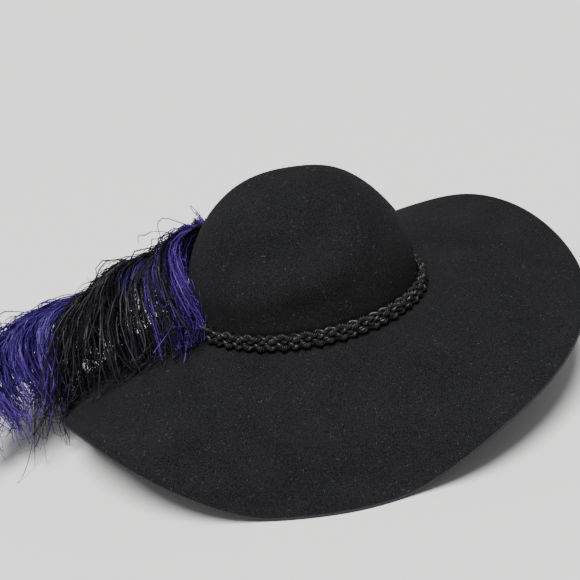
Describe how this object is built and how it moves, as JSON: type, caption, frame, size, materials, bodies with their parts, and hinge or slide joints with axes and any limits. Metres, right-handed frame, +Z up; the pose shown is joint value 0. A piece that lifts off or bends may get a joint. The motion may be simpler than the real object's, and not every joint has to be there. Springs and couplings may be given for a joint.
{
  "type": "cavalier hat",
  "caption": "Wide-brimmed felt cavalier hat with a round crown, a braided cord band and a line of drooping ostrich feathers, standing on its brim.",
  "frame": {"origin": "middle of the whole hat's bounding box, on the surface that it stands on", "axes": "+X towards the front of the hat, +Y towards the feather side (the wearer's left), +Z up"},
  "size_m": [0.5746, 0.4014, 0.2051],
  "materials": {
    "felt": "matt charcoal fur felt, faintly flecked",
    "braid": "black satin cord, twisted strands, soft gloss",
    "violet_feather": "dyed ostrich barbs, deep blue violet, silky",
    "black_feather": "dyed ostrich barbs, black, silky"
  },
  "bodies": {
    "root": {"felt_body": "felt", "braided_band": "braid", "feather_inner_violet": "violet_feather", "feather_middle_black": "black_feather", "feather_outer_violet": "violet_feather"}
  },
  "joints": []
}
